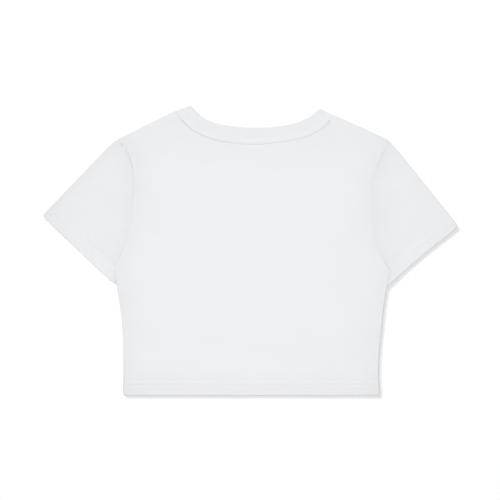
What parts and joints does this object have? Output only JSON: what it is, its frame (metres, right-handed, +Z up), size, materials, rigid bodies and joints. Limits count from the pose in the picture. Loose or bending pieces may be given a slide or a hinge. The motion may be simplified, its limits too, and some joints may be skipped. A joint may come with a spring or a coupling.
{
  "type": "crop top",
  "caption": "White short-sleeved cropped jersey top with a ribbed crew neck, laid flat on its front with its back facing up.",
  "frame": {"origin": "middle of the overall box on the plane that the garment lies on", "axes": "+X to the wearer's right, +Y from the body hem to the neck, +Z up from the surface, out of the wearer's back"},
  "size_m": [0.6, 0.4201, 0.0054],
  "materials": {
    "jersey": "matt white cotton single jersey",
    "rib": "matt white cotton rib, folded double"
  },
  "bodies": {
    "root": {"front": "jersey", "back": "jersey", "sleeve_left": "jersey", "sleeve_right": "jersey", "collar": "rib"}
  },
  "joints": []
}
